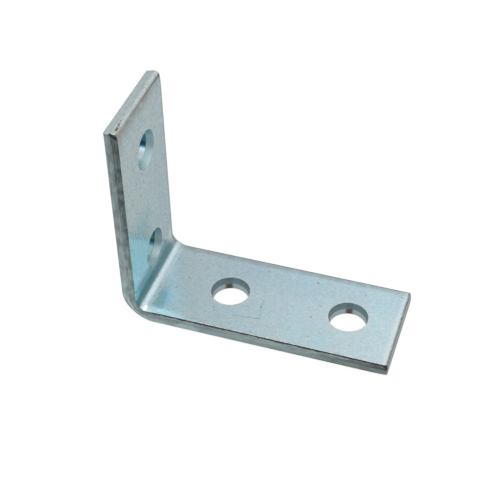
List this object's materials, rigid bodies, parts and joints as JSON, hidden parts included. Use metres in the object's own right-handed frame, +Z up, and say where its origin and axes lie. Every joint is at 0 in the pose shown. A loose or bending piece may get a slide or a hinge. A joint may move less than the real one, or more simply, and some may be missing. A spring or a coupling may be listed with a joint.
{
  "type": "strut angle fitting",
  "caption": "Right-angled fitting folded from thick plated strip, with punched bolt holes in both legs, that joins strut channels at a corner.",
  "frame": {"origin": "under the middle of the part's box, on the plane that the base's outer face stands on", "axes": "+X along the base, from the heel to its end; +Y across the strip; +Z up the upright"},
  "size_m": [0.105, 0.0414, 0.089],
  "materials": {
    "zinc_plated_steel": "bright zinc plate, satin"
  },
  "bodies": {
    "root": {"angle_fitting": "zinc_plated_steel"}
  },
  "joints": []
}
